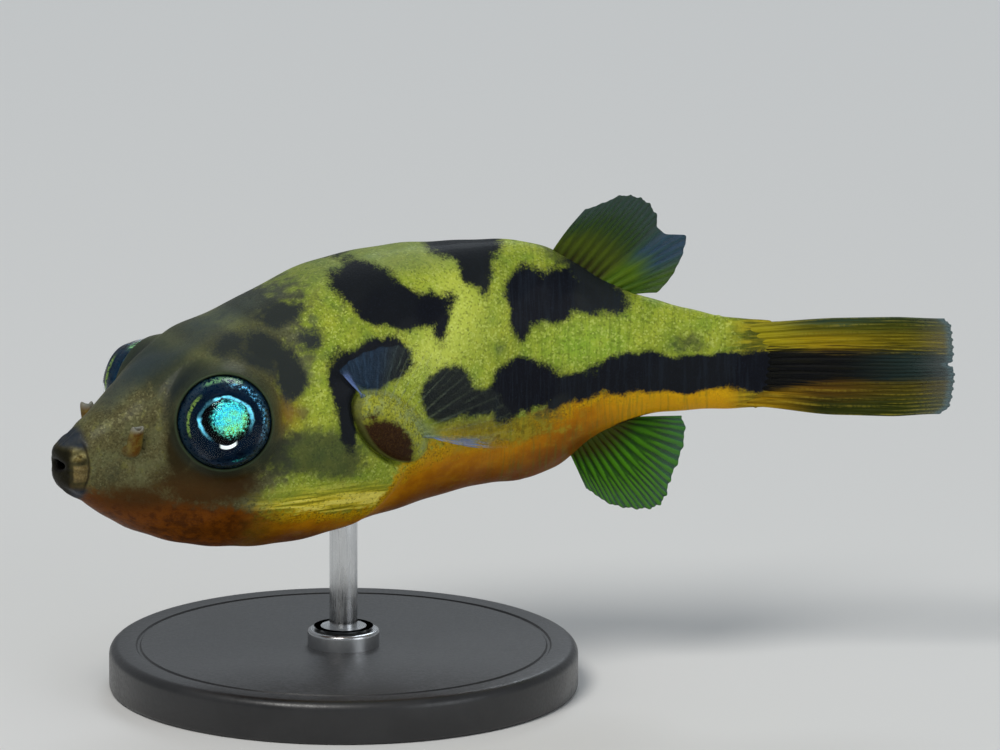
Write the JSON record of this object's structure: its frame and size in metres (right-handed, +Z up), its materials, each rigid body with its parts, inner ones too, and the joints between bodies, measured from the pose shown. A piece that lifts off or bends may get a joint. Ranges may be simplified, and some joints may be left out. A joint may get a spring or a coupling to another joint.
{
  "type": "freshwater pufferfish",
  "caption": "Life-size museum model of an adult dwarf freshwater puffer, head turned to its left, held on a round stand by a short rod.",
  "frame": {"origin": "centre of the underside of the round stand base", "axes": "+Z up, +X from the head to the tail along the rear body, so -Y is the fish's left side; the head is turned 27 degrees from -X towards -Y"},
  "size_m": [0.0288, 0.015, 0.0158],
  "materials": {
    "head_skin": "olive grey, orange under the chin, cast and painted, wet gloss",
    "trunk_skin": "lime yellow with blue-black blotches and an orange belly, wet gloss",
    "tail_skin": "lime yellow with a dark stripe, golden below, wet gloss",
    "dorsal_fin": "clear yellow-green web on fine rays, bluish at the edge",
    "anal_fin": "clear green-yellow web on fine rays, bluish at the edge",
    "caudal_fin": "clear amber web on fine rays with a dark middle streak",
    "pectoral_fin_left": "nearly clear web on fine pale rays",
    "pectoral_fin_right": "nearly clear web on fine pale rays",
    "eye_left": "blue-black iris with a turquoise shine, polished",
    "eye_right": "blue-black iris with a turquoise shine, polished",
    "upper_beak": "bone-white plate, smooth",
    "lower_beak": "bone-white plate, smooth",
    "stand_base": "turned disc, satin black",
    "stand_collar": "turned and brushed",
    "stand_rod": "drawn rod, polished"
  },
  "bodies": {
    "root": {"head": "head_skin", "trunk": "trunk_skin", "tail": "tail_skin", "dorsal_fin": "dorsal_fin", "anal_fin": "anal_fin", "caudal_fin": "caudal_fin", "pectoral_fin_left": "pectoral_fin_left", "pectoral_fin_right": "pectoral_fin_right", "eye_left": "eye_left", "eye_right": "eye_right", "upper_beak": "upper_beak", "lower_beak": "lower_beak", "stand_base": "stand_base", "stand_collar": "stand_collar", "stand_rod": "stand_rod"}
  },
  "joints": []
}
